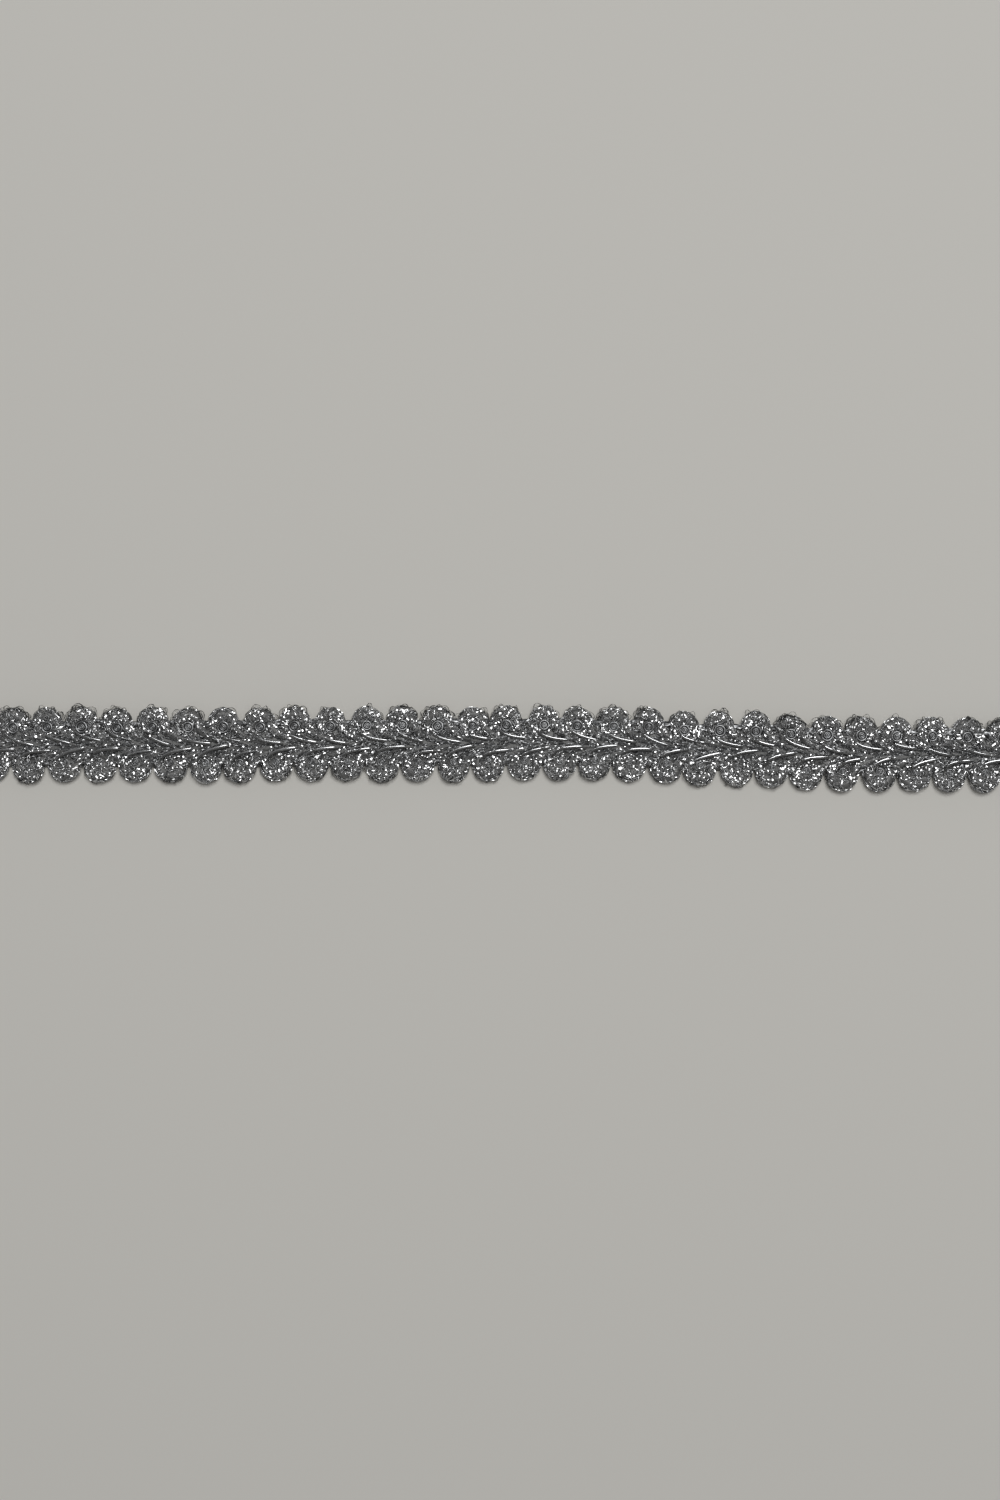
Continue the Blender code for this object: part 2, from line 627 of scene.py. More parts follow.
def shown(obj: Object, material: Material) -> Object:
    """Put a finished piece in the scene, on the braid's body, with its material.

    Args:
        obj: The piece, at the origin.
        material: Its material.

    Returns:
        The same piece.
    """
    obj.data.materials.clear()
    obj.data.materials.append(material)
    bpy.context.scene.collection.objects.link(obj)
    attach(obj, ROOT)
    log.info("%s: %d triangles", obj.name, triangles(obj))
    return obj


def ellipse(sides: int, flatness: float) -> Outline:
    """An ellipse two units wide, clockwise as a strand's section needs.

    Args:
        sides: How many corners it has.
        flatness: Its height as a share of its width.

    Returns:
        Its corners.
    """
    turns = [-math.tau * number / sides for number in range(sides)]
    return tuple((math.cos(turn), flatness * math.sin(turn)) for turn in turns)


# A strip of film is one unit wide, flat on top, with a low ridge underneath that closes it
FILM_OUTLINE = ((-0.5, 0.05), (0.5, 0.05), (0.0, -0.13))
WIRE_OUTLINE = ellipse(sides=6, flatness=1.0)


def section_object(outline: Outline) -> Object:
    """A closed flat outline for the section of strands, which their widths scale.

    Args:
        outline: Its corners, to the strand's side and up.

    Returns:
        The outline as a curve object in the scene.
    """
    data = bpy.data.curves.new("section", "CURVE")
    data.dimensions = "2D"
    data.fill_mode = "NONE"
    spline = data.splines.new("POLY")
    spline.points.add(len(outline) - 1)
    for point, (side, rise) in zip(spline.points, outline):
        point.co = (side, rise, 0, 1)
    spline.use_cyclic_u = True
    made = bpy.data.objects.new("section", data)
    bpy.context.scene.collection.objects.link(made)
    return made


class Strands:
    """A piece of many thin closed strands of one section, gathered as one curve.

    Each kind of strand is a class of its own, which lays its strands in `lay_all`.
    """

    name: str
    seed: int
    outline: Outline = FILM_OUTLINE
    gloss: Gloss = Gloss.FLAT

    @cached_property
    def draw(self) -> random.Random:
        """Where the strands' uneven sizes come from."""
        return random.Random(self.seed)

    def pick(self, span: Span) -> float:
        """A value drawn evenly between two limits."""
        return self.draw.uniform(*span)

    @cached_property
    def curve(self) -> Curve:
        """The curve that gathers the strands, empty at first."""
        curve = bpy.data.curves.new(self.name, "CURVE")
        curve.dimensions = "3D"
        curve.twist_mode = "Z_UP"
        curve.bevel_mode = "OBJECT"
        curve.use_fill_caps = True
        return curve

    def add(
        self,
        points: Sequence[Vector],
        widths: Sequence[float],
        facings: Sequence[Vector] = (),
        rolls: Sequence[float] = (),
    ) -> None:
        """Lay one strand.

        Args:
            points: Where it runs.
            widths: Its width at each point.
            facings: Which way its top faces at each point, or nothing where that is up.
            rolls: How far it is rolled from that facing at each point, or nothing.
        """
        last = len(points) - 1
        if last < 1:
            return
        tilts = list(rolls) or [0.0] * len(points)
        for number, facing in enumerate(facings):
            ahead = points[min(number + 1, last)] - points[max(number - 1, 0)]
            ahead.normalize()
            level = UP - UP.dot(ahead) * ahead
            turned = facing - facing.dot(ahead) * ahead
            tilts[number] += math.atan2(ahead.dot(level.cross(turned)), level.dot(turned))
        spline = self.curve.splines.new("POLY")
        spline.use_smooth = self.gloss.value
        spline.points.add(last)
        spline.points.foreach_set("co", [value for p in points for value in (*p, 1.0)])
        spline.points.foreach_set("tilt", tilts)
        spline.points.foreach_set("radius", widths)

    def lay_all(self) -> None:
        """Lay every strand of the piece."""
        raise NotImplementedError

    def finished(self) -> Object:
        """Turn the strands to one mesh object.

        Returns:
            The object, at the origin.
        """
        section = section_object(self.outline)
        self.curve.bevel_object = section
        strung = bpy.data.objects.new(self.name + "_strung", self.curve)
        bpy.context.scene.collection.objects.link(strung)
        graph = bpy.context.evaluated_depsgraph_get()
        mesh = bpy.data.meshes.new_from_object(strung.evaluated_get(graph))
        mesh.name = self.name
        for helper in (strung, section):
            bpy.data.objects.remove(helper)
        return bpy.data.objects.new(self.name, mesh)

    def build(self, material: Material) -> Object:
        """Model the piece and dress it."""
        self.lay_all()
        return shown(self.finished(), material)


@dataclass
class Ground:
    """The dark ground that shows between the cords: a flat web with a round cushion a scallop.

    `cushion_section` goes from the cushion's middle out, in shares of its radius and height.
    """

    band: Band
    web_section: Outline = (
        mm(0.0, 1.5), mm(0.6, 1.5), mm(1.2, 1.45), mm(1.9, 1.3),
        mm(2.7, 1.12), mm(3.4, 0.8), mm(4.0, 0.35),
    )
    lower_share: float = 0.87
    underside: float = 0.05 * MM
    cut_back: float = 0.3 * MM
    cushion_radius: float = 1.95 * MM
    cushion_top: float = 1.42 * MM
    cushion_section: Outline = ((0.0, 1.0), (0.6, 1.0), (0.9, 0.75), (1.0, 0.4))
    cushion_foot: float = 0.95
    cushion_from_tip: float = 2.5 * MM
    cushion_sides: int = 20
    web_columns: int = 124
    sharp_from: float = math.radians(50)

    def web(self, maker: BMesh) -> None:
        """Add the flat web along the spine.

        Args:
            maker: The mesh under way.
        """
        last = len(self.web_section) - 1
        made = bmesh.ops.create_grid(
            maker, x_segments=self.web_columns, y_segments=2 * last, size=0.5
        )
        for vertex in made["verts"]:
            row = round(vertex.co.y * 2 * last)
            out, height = self.web_section[abs(row)]
            if row < 0:
                out *= self.lower_share
            x = vertex.co.x * (self.band.length - 2 * self.cut_back)
            y = math.copysign(out, row) + self.band.sideways(x) - self.band.middle_y
            vertex.co = Vector((x, y, height))
        faces = list(dict.fromkeys(face for vert in made["verts"] for face in vert.link_faces))
        lowered = bmesh.ops.extrude_face_region(maker, geom=faces)
        for item in lowered["geom"]:
            if isinstance(item, BMVert):
                item.co.z = self.underside

    def in_web(self, end: float, y: float, z: float) -> bool:
        """Whether a point of one of the band's cuts lies under the web's top.

        Args:
            end: The cut's place along the band.
            y: The point's place across the band.
            z: Its height.

        Returns:
            Whether it is in the web.
        """
        spine = self.band.sideways(end) - self.band.middle_y
        out = y - spine if y > spine else (spine - y) / self.lower_share
        for (near, high), (far, low) in zip(self.web_section, self.web_section[1:]):
            if near <= out < far:
                return z < high + (low - high) * (out - near) / (far - near)
        return False

    def cushion(self, maker: BMesh, scallop: Scallop) -> None:
        """Add one scallop's cushion.

        Args:
            maker: The mesh under way.
            scallop: The scallop.
        """
        half_section = [(share, rise * self.cushion_top) for share, rise in self.cushion_section]
        half_section += [(self.cushion_foot, self.underside), (0.0, self.underside)]
        before = set(maker.verts)
        points = [
            maker.verts.new((share * self.cushion_radius, 0, height))
            for share, height in half_section
        ]
        edges = [maker.edges.new(pair) for pair in zip(points, points[1:])]
        bmesh.ops.spin(
            maker,
            geom=points + edges,
            cent=(0, 0, 0),
            axis=(0, 0, 1),
            angle=math.tau,
            steps=self.cushion_sides,
            use_merge=True,
        )
        fresh = [vertex for vertex in maker.verts if vertex not in before]
        bmesh.ops.remove_doubles(maker, verts=fresh, dist=MERGE_WITHIN)
        fresh = [vertex for vertex in maker.verts if vertex not in before]
        middle = self.band.place(scallop, 0.0, scallop.reach - self.cushion_from_tip, 0.0)
        bmesh.ops.translate(maker, vec=middle, verts=fresh)

    def build(self, material: Material) -> Object:
        """Model the ground and dress it.

        Args:
            material: Its material.

        Returns:
            The piece, which stands for the CAD's band.
        """
        maker = bmesh.new()
        for scallop in self.band.every_scallop:
            if abs(scallop.along) + self.cushion_radius < self.band.length / 2:
                self.cushion(maker, scallop)
        self.web(maker)
        bmesh.ops.recalc_face_normals(maker, faces=maker.faces)
        ground = mesh_object("braid_ground", maker)
        ground.data.set_sharp_from_angle(angle=self.sharp_from)
        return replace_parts(shown(ground, material), BRAID_NODE)


@dataclass
class Cords(Strands):
    """The fat cords, one for each scallop, which carry the film."""

    band: Band
    name: str = "gimp_cords"
    outline: Outline = ellipse(sides=8, flatness=CORD_FLATNESS)
    gloss: Gloss = Gloss.SMOOTH
    step: float = 0.4 * MM
    past_cut: float = 1.5 * MM

    @cached_property
    def routes(self) -> dict[Side, list[Route]]:
        """The cords' middle lines by their edge."""
        return {
            side: [Route(self.band, scallop, EDGES[side].cord) for scallop in self.band.row(side)]
            for side in Side
        }

    @property
    def every_route(self) -> list[Route]:
        """The middle lines of the upper edge's cords, then of the lower one's."""
        return [route for routes in self.routes.values() for route in routes]

    def lay_all(self) -> None:
        """Lay the cords, to a little past both ends."""
        limit = self.band.length / 2 + self.past_cut
        for route in self.every_route:
            steps = int(route.length / self.step)
            sections = [route.at(number * self.step) for number in range(steps + 1)]
            kept = [section for section in sections if abs(section.middle.x) < limit]
            self.add([section.middle for section in kept], [section.radius for section in kept])

    def finished(self) -> Object:
        """Turn the cords to one mesh object, cut off flat where the band ends.

        Returns:
            The object, at the origin.
        """
        cords = super().finished()
        maker = bmesh.new()
        maker.from_mesh(cords.data)
        for outwards in (-1, 1):
            parted = bmesh.ops.bisect_plane(
                maker,
                geom=maker.verts[:] + maker.edges[:] + maker.faces[:],
                plane_co=(outwards * self.band.length / 2, 0, 0),
                plane_no=(outwards, 0, 0),
                clear_outer=True,
            )
            rims = [part for part in parted["geom_cut"] if isinstance(part, BMEdge)]
            bmesh.ops.holes_fill(maker, edges=rims)
        bmesh.ops.recalc_face_normals(maker, faces=maker.faces)
        maker.to_mesh(cords.data)
        maker.free()
        return cords


@dataclass(frozen=True)
class Wrap:
    """How one kind of film strip runs on a cord.

    `begins` is a share of the cord's length. `lean` is how far to either side of the cord's top
    the middle of a strip may lie, and `swing` how far it goes from that middle and back in one
    `wave`. `twist` is the length in which it turns once on itself. `outer` is how far round from
    the top towards the scallop's rim all its strips lie.
    """

    per_cord: int
    begins: Span
    runs: Span
    swing: Span
    wave: Span
    lean: float
    width: float
    twist: Span
    lift: Span
    outer: float = 0.0


LOBE_WRAPS = (
    Wrap(20, (-0.1, 0.38), mm(5, 9), (0.2, 0.7), mm(3, 7), 2.1, 0.28 * MM,
         mm(1.2, 2.8), mm(0.0, 0.1)),
    Wrap(12, (-0.06, 0.48), mm(3, 6), (1.2, 1.8), mm(3, 6), 0.4, 0.26 * MM,
         mm(1.2, 2.8), mm(0.03, 0.16)),
)
TAIL_WRAPS = (
    Wrap(16, (0.45, 0.75), mm(5, 9), (0.2, 0.5), mm(5, 9), 1.4, 0.2 * MM,
         mm(1.5, 4.0), mm(0.0, 0.05)),
    Wrap(6, (0.45, 0.85), mm(3, 5), (1.0, 1.6), mm(3, 6), 0.4, 0.18 * MM,
         mm(1.5, 4.0), mm(0.02, 0.08)),
)
RIM_WRAPS = (
    Wrap(5, (-0.02, 0.3), mm(5, 9), (0.1, 0.3), mm(3, 7), 0.45, 0.32 * MM,
         mm(1.5, 3.0), mm(0.0, 0.05), 1.7),
)
# The long loose strips of the rim bend less, so their points stand further apart
RIM_STEP = 0.35 * MM


@dataclass(frozen=True)
class FlatTurns:
    """How many short flat turns of film show in one stretch of a cord, and how large they are.

    `inward` is how far round from the cord's top towards the eye's side the middle one lies.
    """

    per_cord: int
    place: Span
    width: Span = mm(0.1, 0.24)
    run: Span = mm(0.16, 0.38)
    inward: float = 0.3


LEAF_TURNS = FlatTurns(12, (0.5, 0.7), mm(0.1, 0.2), mm(0.15, 0.33))
PLAIT_TURNS = FlatTurns(8, (0.68, 0.98), mm(0.1, 0.17), mm(0.18, 0.33))
TURNS = {
    Side.UPPER: (
        FlatTurns(26, (0.02, 0.24)),
        FlatTurns(20, (0.24, 0.44), inward=0.75),
        FlatTurns(17, (0.44, 0.54)),
        LEAF_TURNS,
        PLAIT_TURNS,
    ),
    Side.LOWER: (
        FlatTurns(21, (0.0, 0.15), mm(0.11, 0.25), mm(0.18, 0.4)),
        FlatTurns(15, (0.14, 0.22)),
        FlatTurns(13, (0.25, 0.45), mm(0.1, 0.2), mm(0.16, 0.33), inward=0.6),
        FlatTurns(15, (0.49, 0.57)),
        LEAF_TURNS,
        PLAIT_TURNS,
    ),
}


@dataclass
class EdgeFilm(Strands):
    """Film of a few kinds that lies on each cord of one edge."""

    cords: Cords
    name: str
    side: Side
    kinds: tuple[Wrap | FlatTurns, ...]
    seed: int

    def lay(self, route: Route, kind: Wrap | FlatTurns) -> None:
        """Lay one strand of a kind on a cord."""
        raise NotImplementedError

    def lay_all(self) -> None:
        """Lay each kind on each cord of the edge."""
        for route in self.cords.routes[self.side]:
            for kind in self.kinds:
                for _ in range(kind.per_cord):
                    self.lay(route, kind)


@dataclass
class Film(EdgeFilm):
    """The fine strips that cover one zone of the cords along one edge."""

    step: float = 0.2 * MM
    fray: float = 0.35 * MM
    uneven_roll: float = 0.3
    uneven_width: Span = (0.75, 1.2)
    floor: float = 0.2 * MM

    def lay(self, route: Route, kind: Wrap) -> None:
        """Lay one strip on a cord.

        Args:
            route: The cord.
            kind: The kind of strip.
        """
        draw = self.draw
        start = max(0.0, self.pick(kind.begins)) * route.length
        run = self.pick(kind.runs)
        middle = draw.uniform(-kind.lean, kind.lean) - self.side.value * kind.outer
        swing = self.pick(kind.swing)
        pace = math.tau / self.pick(kind.wave)
        phase = draw.uniform(0, math.tau)
        lift = self.pick(kind.lift)
        limit = self.cords.band.length / 2 + draw.uniform(-self.fray, self.fray)
        turning = draw.choice((-1, 1)) * math.tau / self.pick(kind.twist)
        first_roll = draw.uniform(0, math.tau)
        points, widths, facings, rolls = [], [], [], []
        for number in range(int(run / self.step)):
            distance = start + number * self.step
            if distance > route.length:
                break
            section = route.at(distance)
            turn = middle + swing * math.sin(pace * distance + phase)
            roll = first_roll + turning * distance + draw.gauss(0, self.uneven_roll)
            width = kind.width * self.pick(self.uneven_width)
            point = section.surface(turn, lift)
            point.z = max(point.z, self.floor)
            if abs(point.x) > limit:
                self.add(points, widths, facings, rolls)
                points, widths, facings, rolls = [], [], [], []
                continue
            points.append(point)
            widths.append(width)
            facings.append(section.outward(turn))
            rolls.append(roll)
        self.add(points, widths, facings, rolls)


@dataclass
class Flashes(EdgeFilm):
    """The places along one edge where a strip lies flat on the cord and flashes as one."""

    lean: tuple[float, float, float] = (0.04, 0.19, 0.98)
    lean_share: float = 0.72
    scatter: float = 0.18
    askew: float = 0.7
    pinch: float = 1.1
    most_turn: float = 1.3
    clear_of_eye: dict[Side, float] = by_side(*mm(0.85, 0.4))
    lift: Span = mm(0.1, 0.2)
    points: int = 3

    def lay(self, route: Route, kind: FlatTurns) -> None:
        """Lay one flat turn on a cord.

        Args:
            route: The cord.
            kind: The stretch that it lies in.
        """
        draw = self.draw
        section = route.at(self.pick(kind.place) * route.length)
        turn = draw.uniform(-self.most_turn, self.most_turn) + self.side.value * kind.inward
        middle = section.surface(turn, self.pick(self.lift))
        eye = self.cords.band.eye(route.scallop, 0.0)
        if (middle - eye).xy.length < self.clear_of_eye[self.side]:
            return
        facing = section.outward(turn).lerp(Vector(self.lean), self.lean_share)
        facing += Vector([draw.gauss(0, self.scatter) for _ in range(3)])
        facing.normalize()
        ahead = section.across.cross(section.rise)
        heading = ahead + draw.gauss(0, self.askew) * section.across
        heading -= heading.dot(facing) * facing
        heading.normalize()
        run = self.pick(kind.run)
        width = self.pick(kind.width)
        offsets = [share - 0.5 for share in shares(self.points)]
        points = [middle + offset * run * heading for offset in offsets]
        if self.cords.band.holds(*points):
            widths = [width * (1 - self.pinch * offset * offset) for offset in offsets]
            self.add(points, widths, [facing] * self.points)


@dataclass
class Filaments(Strands):
    """The smooth filaments, one for each cord, which lie along its spine's side.

    Here and there a filament dips under a strand of film, which breaks its bright stroke.
    """

    band: Band
    name: str = "smooth_filaments"
    seed: int = 22
    line_seed: int = 21
    outline: Outline = ellipse(sides=8, flatness=0.4)
    gloss: Gloss = Gloss.SMOOTH
    step: float = 0.15 * MM
    shift_along: float = 0.4 * MM
    shift_across: Span = mm(-0.5, 0.4)
    lean: float = 0.1
    turning_point: float = 1.5 * MM
    size: Span = (0.48, 0.82)
    sunk: Span = mm(-0.03, 0.2)
    trimmed: float = 0.28
    dips: tuple[int, int] = (0, 2)
    dip_depth: float = 0.4 * MM
    dip_length: float = 0.16 * MM

    def route(self, scallop: Scallop, draw: random.Random) -> Route:
        """One filament's middle line, shifted and leant from the usual one.

        Args:
            scallop: The scallop whose cord it lies on.
            draw: Where its uneven place comes from.

        Returns:
            The line.
        """
        along = draw.uniform(-self.shift_along, self.shift_along)
        out = draw.uniform(*self.shift_across)
        lean = draw.uniform(-self.lean, self.lean)
        size = draw.uniform(*self.size)
        sunk = draw.uniform(*self.sunk)
        line = tuple(
            Station(
                at.along + along,
                at.out + out + lean * (at.along - self.turning_point),
                at.radius * size,
                at.height - sunk,
            )
            for at in scallop.edge.stroke
        )
        return Route(self.band, scallop, line)

    @cached_property
    def routes(self) -> list[Route]:
        """The filaments' middle lines."""
        draw = random.Random(self.line_seed)
        return [self.route(scallop, draw) for scallop in self.band.every_scallop]

    def lay(self, route: Route) -> None:
        """Lay one filament.

        Args:
            route: Its middle line.
        """
        draw = self.draw
        start = draw.uniform(0, self.trimmed) * route.length
        end = route.length - draw.uniform(0, self.trimmed) * route.length
        dips = [draw.uniform(start, end) for _ in range(draw.randint(*self.dips))]
        points, radii = [], []
        for number in range(int((end - start) / self.step) + 1):
            distance = start + number * self.step
            section = route.at(distance)
            if not self.band.holds(section.middle):
                continue
            sunk = sum(math.exp(-(((distance - at) / self.dip_length) ** 2)) for at in dips)
            points.append(section.middle - min(1.0, sunk) * self.dip_depth * UP)
            radii.append(section.radius)
        self.add(points, radii)

    def lay_all(self) -> None:
        """Lay the filaments."""
        for route in self.routes:
            self.lay(route)


@dataclass
class PaintedShadowStrands(Strands):
    """Dark strands, like bare core yarn, in the groove beside each filament: painted shadow.

    They hardly shine, so they draw the dark line along the lower side of the bright strokes,
    where the filament's shadow falls on its side away from the lamp.
    """

    filaments: Filaments
    name: str = "painted_shadow_strands"
    seed: int = 23
    outline: Outline = WIRE_OUTLINE
    gloss: Gloss = Gloss.SMOOTH
    step: float = 0.3 * MM
    radius: float = 0.13 * MM
    # The painted shadow lies out to the side away from the lamp, where the filament's shadow falls
    beside: float = 0.24 * MM
    below: float = 0.1 * MM
    least_share: float = 0.35

    def lay_all(self) -> None:
        """Lay the yarns."""
        for route in self.filaments.routes:
            run = self.draw.uniform(self.least_share, 1.0) * route.length
            start = self.draw.uniform(0, route.length - run)
            sections = [
                route.at(start + number * self.step) for number in range(int(run / self.step))
            ]
            points = [
                section.middle + self.beside * section.across - self.below * UP
                for section in sections
                if self.filaments.band.holds(section.middle)
            ]
            self.add(points, [self.radius] * len(points))


@dataclass
class Eyes:
    """The small coil of yarn in each scallop's eye: a ring round a knob.

    `rings` gives each turn of the coil by its radius and its yarn's radius, as shares of the
    eye's radius, and the height of its middle.
    """

    band: Band
    rings: tuple[tuple[float, float, float], ...] = (
        (0.19, 0.13, 1.7 * MM),
        (0.42, 0.12, 1.66 * MM),
        (0.8, 0.19, 1.6 * MM),
    )
    size: Span = (0.88, 1.08)
    seed: int = 5
    uneven: float = 0.08 * MM
    uneven_lean: float = 0.06
    wire_sides: int = 6
    ring_sides: int = 18

    def wire_ring(self, maker: BMesh, radius: float, wire: float, place: Matrix) -> None:
        """Add one ring of round wire.

        Args:
            maker: The mesh under way.
            radius: The radius of the wire's middle line.
            wire: The wire's own radius.
            place: Where the ring lies, and how it leans.
        """
        before = set(maker.verts)
        made = bmesh.ops.create_circle(maker, segments=self.wire_sides, radius=wire)
        round_cut = made["verts"]
        upright = Matrix.Translation((radius, 0, 0)) @ Matrix.Rotation(math.pi / 2, 4, "X")
        bmesh.ops.transform(maker, matrix=upright, verts=round_cut)
        edges = list(dict.fromkeys(edge for vert in round_cut for edge in vert.link_edges))
        bmesh.ops.spin(
            maker,
            geom=round_cut + edges,
            cent=(0, 0, 0),
            axis=(0, 0, 1),
            angle=math.tau,
            steps=self.ring_sides,
            use_merge=True,
        )
        fresh = [vertex for vertex in maker.verts if vertex not in before]
        bmesh.ops.transform(maker, matrix=place, verts=fresh)

    def build(self, material: Material) -> Object:
        """Model the coils and dress them.

        Args:
            material: Their material.

        Returns:
            The piece.
        """
        draw = random.Random(self.seed)
        maker = bmesh.new()
        for scallop in self.band.every_scallop:
            usual = scallop.edge.eye_radius
            if abs(scallop.along) + self.size[1] * usual > self.band.length / 2:
                continue
            shift = Vector((draw.uniform(-1, 1), draw.uniform(-1, 1), 0)) * self.uneven
            tilts = [draw.uniform(-self.uneven_lean, self.uneven_lean) for _ in range(2)]
            lean = Matrix.Rotation(tilts[0], 4, "X") @ Matrix.Rotation(tilts[1], 4, "Y")
            size = draw.uniform(*self.size) * usual
            for radius, wire, height in self.rings:
                middle = Matrix.Translation(self.band.eye(scallop, height) + shift)
                self.wire_ring(maker, radius * size, wire * size, middle @ lean)
        bmesh.ops.recalc_face_normals(maker, faces=maker.faces)
        return shown(mesh_object("eye_rings", maker), material)


@dataclass(frozen=True)
class Patch:
    """Where one kind of short strip lies at each scallop of one edge.

    `along` and `out` give the patch's middle from the scallop and the spine, `spread` how far
    from it the strips lie. `bearing` is measured from along the band towards the spine.
    """

    count: int
    along: float
    out: float
    spread: Span
    bearing: Span
    half_run: Span
    height: Span
    width: float


EYE_PATCHES = {
    Side.UPPER: Patch(3, 0.0, 3.1 * MM, mm(0.45, 0.45), (0.0, math.pi),
                      mm(0.3, 0.7), mm(1.5, 1.7), 0.2 * MM),
    Side.LOWER: Patch(9, 0.0, 2.7 * MM, mm(0.45, 0.45), (0.0, math.pi),
                      mm(0.3, 0.9), mm(1.5, 1.75), 0.24 * MM),
}
LEAF_PATCHES = {
    Side.UPPER: Patch(13, 1.6 * MM, 1.35 * MM, mm(1.0, 0.3), (-0.1, 0.7),
                      mm(0.4, 0.9), mm(1.52, 1.64), 0.2 * MM),
    Side.LOWER: Patch(13, 1.6 * MM, 1.1 * MM, mm(1.0, 0.3), (-0.1, 0.7),
                      mm(0.4, 0.9), mm(1.52, 1.64), 0.2 * MM),
}


@dataclass
class ShortFilm(Strands):
    """The short strips of film that lie across one place at each scallop."""

    band: Band
    name: str
    patches: dict[Side, Patch]
    seed: int
    bow: float = 0.25 * MM
    twist: Span = mm(1.2, 2.8)
    points: int = 7

    def lay(self, scallop: Scallop, patch: Patch) -> None:
        """Lay one strip.

        Args:
            scallop: The scallop that it belongs to.
            patch: Where it lies there.
        """
        bearing = self.pick(patch.bearing)
        ahead = Vector((math.cos(bearing), -scallop.side.value * math.sin(bearing), 0))
        across = Vector((-ahead.y, ahead.x, 0))
        half_run = self.pick(patch.half_run)
        bow = self.draw.uniform(-self.bow, self.bow)
        turning = math.tau / self.pick(self.twist)
        first_roll = self.draw.uniform(0, math.tau)
        height = self.pick(patch.height)
        off_along, off_out = (self.draw.gauss(0, spread) for spread in patch.spread)
        middle = self.band.place(scallop, patch.along + off_along, patch.out + off_out, height)
        points, rolls = [], []
        for share in (2 * share - 1 for share in shares(self.points)):
            points.append(middle + share * half_run * ahead + bow * (1 - share**2) * across)
            rolls.append(first_roll + turning * share * half_run)
        if self.band.holds(*points):
            self.add(points, [patch.width] * self.points, rolls=rolls)

    def lay_all(self) -> None:
        """Lay the strips of every scallop's patch."""
        for scallop in self.band.every_scallop:
            patch = self.patches[scallop.side]
            for _ in range(patch.count):
                self.lay(scallop, patch)


@dataclass
class EyeArcs(Strands):
    """The strips that lie flat round a part of some eyes and shine as one arc."""

    band: Band
    name: str = "eye_arcs"
    seed: int = 91
    gloss: Gloss = Gloss.SMOOTH
    share_of_eyes: dict[Side, float] = by_side(0.95, 0.4)
    radius: Span = mm(0.85, 1.2)
    turned: Span = (0.7, 2.0)
    middle_bearing: Span = (0.8, 2.8)
    width: Span = mm(0.14, 0.24)
    height: float = 1.85 * MM
    outward_lean: float = 0.12
    end_width: float = 0.3
    points: int = 12

    def lay(self, middle: Vector) -> None:
        """Lay one arc.

        Args:
            middle: The eye's middle at the arc's height.
        """
        radius = self.pick(self.radius)
        turned = self.pick(self.turned)
        first = self.pick(self.middle_bearing) - turned / 2
        width = self.pick(self.width)
        points, widths, facings = [], [], []
        for share in shares(self.points):
            bearing = first + share * turned
            outward = Vector((math.cos(bearing), math.sin(bearing), 0))
            points.append(middle + radius * outward)
            facings.append((UP + self.outward_lean * outward).normalized())
            fullness = math.sin(math.pi * share)
            widths.append(width * (self.end_width + (1 - self.end_width) * fullness))
        if self.band.holds(*points):
            self.add(points, widths, facings)

    def lay_all(self) -> None:
        """Lay the arcs, at the share of the eyes that have one."""
        for scallop in self.band.every_scallop:
            if self.draw.random() < self.share_of_eyes[scallop.side]:
                self.lay(self.band.eye(scallop, self.height))


@dataclass
class Bridges(Strands):
    """The strips that cross the bottom of each notch between two scallops."""

    band: Band
    name: str = "notch_bridges"
    seed: int = 81
    count: int = 6
    out: dict[Side, float] = by_side(*mm(3.75, 2.4))
    off_line: float = 0.22 * MM
    half_run: Span = mm(0.5, 1.1)
    slope: float = 0.35
    height: Span = mm(1.1, 1.6)
    width: Span = mm(0.2, 0.32)
    uneven_roll: float = 0.3
    points: int = 6

    def lay(self, middle: Vector) -> None:
        """Lay one strip over a notch's bottom.

        Args:
            middle: The notch's bottom, on the surface that the braid lies on.
        """
        draw = self.draw
        half_run = self.pick(self.half_run)
        slope = draw.uniform(-self.slope, self.slope)
        centre = middle + self.pick(self.height) * UP
        centre += Vector((draw.gauss(0, self.off_line), draw.gauss(0, self.off_line), 0))
        ahead = Vector((1, slope, 0)).normalized()
        points = [centre + (2 * share - 1) * half_run * ahead for share in shares(self.points)]
        rolls = [draw.gauss(0, self.uneven_roll) for _ in points]
        if self.band.holds(*points):
            self.add(points, [self.pick(self.width)] * self.points, rolls=rolls)

    def lay_all(self) -> None:
        """Lay the strips of every notch."""
        for side in Side:
            row = self.band.row(side)
            for left, right in zip(row, row[1:]):
                half_gap = (right.along - left.along) / 2
                middle = self.band.place(left, half_gap, self.out[side], 0.0)
                for _ in range(self.count):
                    self.lay(middle)


